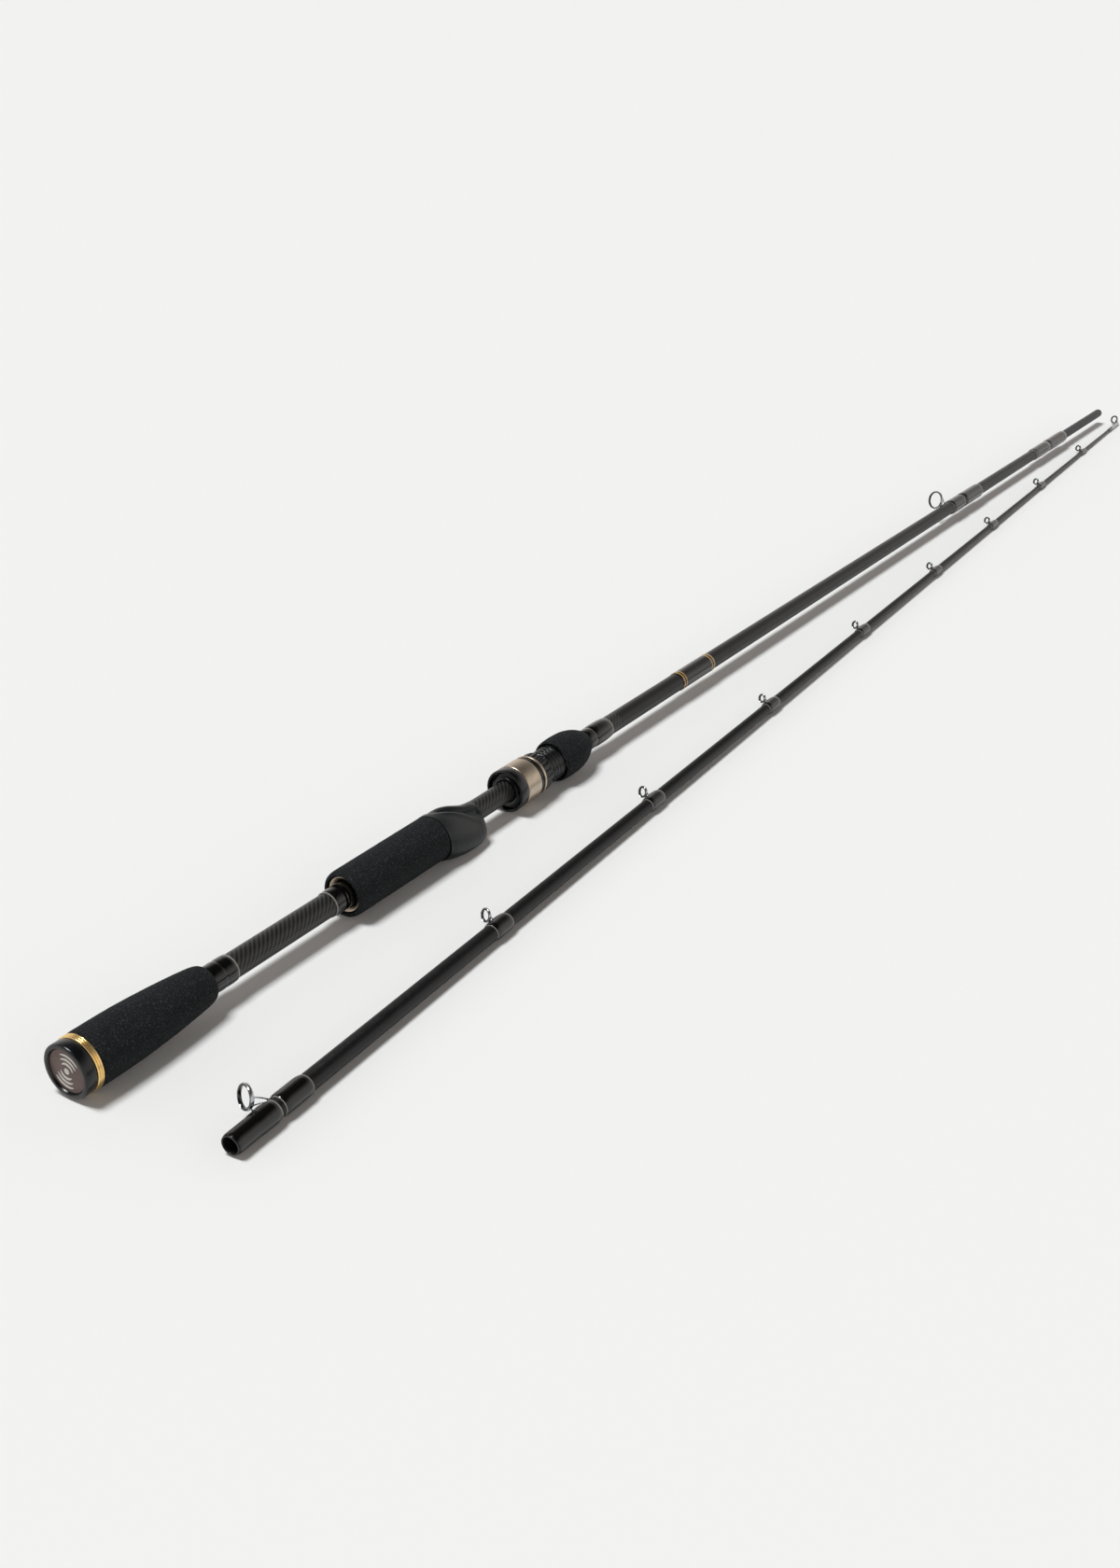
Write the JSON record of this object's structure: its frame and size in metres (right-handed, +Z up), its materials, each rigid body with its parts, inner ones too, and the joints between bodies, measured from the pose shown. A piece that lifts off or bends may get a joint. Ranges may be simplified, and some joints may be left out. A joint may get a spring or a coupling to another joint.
{
  "type": "casting rod",
  "caption": "Two-piece casting rod with trigger reel seat, foam grips and line guides, laid down with its butt and tip sections side by side.",
  "frame": {"origin": "under the middle of the object's box, on the surface that the two sections lie on", "axes": "+X along the butt section from the butt cap to the spigot, +Z up, +Y to the left of the butt section, away from the tip section"},
  "size_m": [1.2938, 0.1054, 0.0275],
  "materials": {
    "black_plastic": "satin black moulding",
    "brown_badge": "matt brown",
    "gold_metal": "polished gold",
    "eva_foam": "fine-grained matt closed-cell foam",
    "carbon_blank": "satin black woven carbon laminate",
    "glossed_thread": "black thread under glossy epoxy",
    "champagne_metal": "champagne anodised, satin",
    "soft_touch_seat": "soft-touch dark grey",
    "arbor_composite": "grey composite, unseen",
    "guide_metal": "polished gunmetal",
    "ring_ceramic": "polished dark ceramic"
  },
  "bodies": {
    "root": {"butt_cap": "black_plastic", "butt_cap_disc": "brown_badge", "gold_ring": "gold_metal", "butt_grip": "eva_foam", "butt_blank": "carbon_blank", "spigot": "carbon_blank", "wrap_butt_grip": "glossed_thread", "wrap_rear_grip": "glossed_thread", "winding_check": "champagne_metal", "rear_grip": "eva_foam", "seat_body": "soft_touch_seat", "seat_bush": "arbor_composite", "threaded_barrel": "black_plastic", "barrel_bush": "arbor_composite", "foregrip": "eva_foam", "wrap_foregrip": "glossed_thread", "wrap_decor": "glossed_thread", "stripper_frame": "guide_metal", "stripper_insert": "ring_ceramic", "stripper_wrap_rear": "glossed_thread", "stripper_wrap_front": "glossed_thread", "wrap_male_ferrule": "glossed_thread"},
    "hood": {"hood": "black_plastic", "hood_collar": "champagne_metal", "hood_ring": "champagne_metal"},
    "lock_nut": {"lock_nut": "black_plastic"},
    "tip_section": {"tip_blank": "carbon_blank", "guide_1_frame": "guide_metal", "guide_1_insert": "ring_ceramic", "wrap_female_ferrule": "glossed_thread", "guide_1_wrap": "glossed_thread", "guide_2_frame": "guide_metal", "guide_2_insert": "ring_ceramic", "guide_2_wrap": "glossed_thread", "guide_3_frame": "guide_metal", "guide_3_insert": "ring_ceramic", "guide_3_wrap": "glossed_thread", "guide_4_frame": "guide_metal", "guide_4_insert": "ring_ceramic", "guide_4_wrap": "glossed_thread", "guide_5_frame": "guide_metal", "guide_5_insert": "ring_ceramic", "guide_5_wrap": "glossed_thread", "guide_6_frame": "guide_metal", "guide_6_insert": "ring_ceramic", "guide_6_wrap": "glossed_thread", "guide_7_frame": "guide_metal", "guide_7_insert": "ring_ceramic", "guide_7_wrap": "glossed_thread", "guide_8_frame": "guide_metal", "guide_8_insert": "ring_ceramic", "guide_8_wrap": "glossed_thread", "guide_9_frame": "guide_metal", "guide_9_insert": "ring_ceramic", "guide_9_wrap": "glossed_thread", "tip_top_frame": "guide_metal", "tip_top_insert": "ring_ceramic", "tip_top_wrap": "glossed_thread"}
  },
  "joints": [
    {"name": "hood_slide", "type": "slide", "parent": "root", "child": "hood", "axis": [1, 0, -0.0033], "range_m": [-0.012, 0.009]},
    {"name": "nut_turn", "type": "hinge", "parent": "hood", "child": "lock_nut", "pos_m": [-0.30133, 0.03629, 0.01271], "axis": [1, 0, -0.0033], "range_deg": [-1442, 1082]},
    {"name": "tip_section_lift", "type": "slide", "parent": "root", "child": "tip_section", "axis": [0, 0, 1], "range_m": [0, 0.2]}
  ],
  "couplings": [
    {"joint": "nut_turn", "follows": "hood_slide", "rad_per_m": 2094.4}
  ]
}
